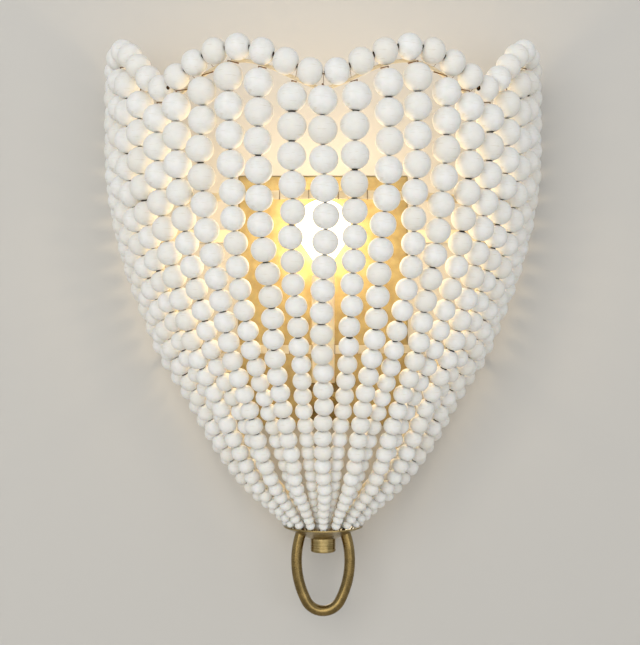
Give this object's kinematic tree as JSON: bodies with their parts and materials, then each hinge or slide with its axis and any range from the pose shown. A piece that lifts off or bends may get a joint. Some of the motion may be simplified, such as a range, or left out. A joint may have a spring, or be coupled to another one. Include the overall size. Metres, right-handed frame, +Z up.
{
  "type": "beaded wall sconce",
  "caption": "Half-round wall sconce: strings of white beads hang from a scalloped rim to a small brass dish with an oval loop, around a candle-style lamp on a brass backplate.",
  "frame": {"origin": "middle of the backplate's back, on the wall's plane", "axes": "+X to the viewer's right, +Y into the wall (the front faces -Y), +Z up"},
  "size_m": [0.4019, 0.2016, 0.5096],
  "materials": {
    "chalk_white_wood": "matte chalk-white paint on turned wood",
    "antique_brass": "satin antique brass",
    "satin_brass": "satin antique brass, lit from in front",
    "cream_enamel": "satin cream paint",
    "bronze_wire": "dull bronze wire",
    "zinc_steel": "zinc plate",
    "green_steel": "green paint on steel",
    "ivory_sleeve": "matte ivory",
    "frosted_glass": "frosted glass, lit",
    "lamp_cap_brass": "bright brass",
    "tin_solder": "dull tin",
    "black_insulator": "glossy black",
    "white_porcelain": "unglazed white porcelain",
    "lead_insulation": "matte insulation"
  },
  "bodies": {
    "fixture": {"arm_nut": "zinc_steel", "arm_rosette": "antique_brass", "back_uprights": "cream_enamel", "backplate": "satin_brass", "bead_strand_01": "chalk_white_wood", "bead_strand_02": "chalk_white_wood", "bead_strand_03": "chalk_white_wood", "bead_strand_04": "chalk_white_wood", "bead_strand_05": "chalk_white_wood", "bead_strand_06": "chalk_white_wood", "bead_strand_07": "chalk_white_wood", "bead_strand_08": "chalk_white_wood", "bead_strand_09": "chalk_white_wood", "bead_strand_10": "chalk_white_wood", "bead_strand_11": "chalk_white_wood", "bead_strand_12": "chalk_white_wood", "bead_strand_13": "chalk_white_wood", "bead_strand_14": "chalk_white_wood", "bead_strand_15": "chalk_white_wood", "bead_strand_16": "chalk_white_wood", "bead_strand_17": "chalk_white_wood", "bead_strand_18": "chalk_white_wood", "bead_strand_19": "chalk_white_wood", "bead_strand_20": "chalk_white_wood", "bead_strand_21": "chalk_white_wood", "bead_strand_22": "chalk_white_wood", "bead_strand_23": "chalk_white_wood", "bottom_dish": "antique_brass", "candle_cup": "antique_brass", "candle_sleeve": "ivory_sleeve", "cap_nuts": "antique_brass", "centre_contact": "lamp_cap_brass", "cup_locknut": "zinc_steel", "finial_knob": "antique_brass", "frame_hub": "antique_brass", "frame_ribs": "cream_enamel", "ground_screw": "green_steel", "holder_leg": "zinc_steel", "hub_stud": "zinc_steel", "lamp_arm": "antique_brass", "lamp_leads": "lead_insulation", "lampholder_body": "white_porcelain", "lower_hoop": "cream_enamel", "lower_rail": "cream_enamel", "mid_hoop": "cream_enamel", "mounting_strap": "zinc_steel", "rail_nuts": "zinc_steel", "rim_beads": "chalk_white_wood", "rim_rod": "cream_enamel", "rim_wire": "bronze_wire", "ring_loop": "antique_brass", "screw_shell": "lamp_cap_brass", "strand_wires": "bronze_wire", "strap_studs": "zinc_steel", "tie_wires": "bronze_wire", "upper_rail": "cream_enamel"},
    "bulb": {"bulb_glass": "frosted_glass", "bulb_cap": "lamp_cap_brass", "bulb_insulator": "black_insulator", "bulb_tip": "tin_solder"}
  },
  "joints": [
    {"name": "bulb_lift", "type": "slide", "parent": "fixture", "child": "bulb", "axis": [0, 0, 1], "range_m": [0, 0.235]}
  ]
}
